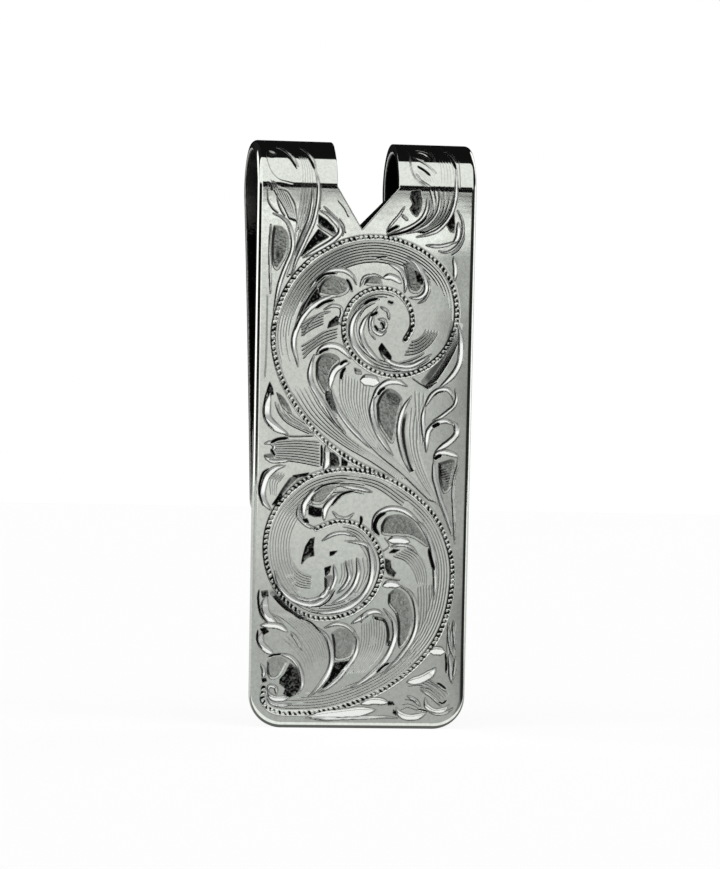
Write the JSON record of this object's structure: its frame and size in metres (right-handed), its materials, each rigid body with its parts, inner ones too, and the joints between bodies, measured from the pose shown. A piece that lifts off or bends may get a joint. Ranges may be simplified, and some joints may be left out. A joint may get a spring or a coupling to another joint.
{
  "type": "money clip",
  "caption": "Folded spring money clip: scroll-engraved face plate, two bows beside a pointed window, and a shorter plain tongue.",
  "frame": {"origin": "centre of the bounding box on the plane of the face plate's free end; the bend axis of the bows is straight above it", "axes": "+Z along the clip from the free end to the bows, -Y out of the engraved face, +Y towards the tongue, +X to the right as the engraved face is seen"},
  "size_m": [0.0222, 0.0092, 0.0584],
  "materials": {
    "engraved_silver": "bright-cut engraved and hand polished",
    "polished_silver": "plain polish with fine rubbing marks"
  },
  "bodies": {
    "front": {"face_plate": "engraved_silver", "left_bow": "engraved_silver", "right_bow": "engraved_silver"},
    "back": {"spring_tongue": "polished_silver"}
  },
  "joints": [
    {"name": "tongue_flex", "type": "hinge", "parent": "front", "child": "back", "pos_m": [0, 0, 0.0538], "axis": [1, 0, 0], "range_deg": [0, 8], "stiffness_Nm_per_rad": 4.8, "deforming": ["left_bow", "right_bow"]}
  ]
}
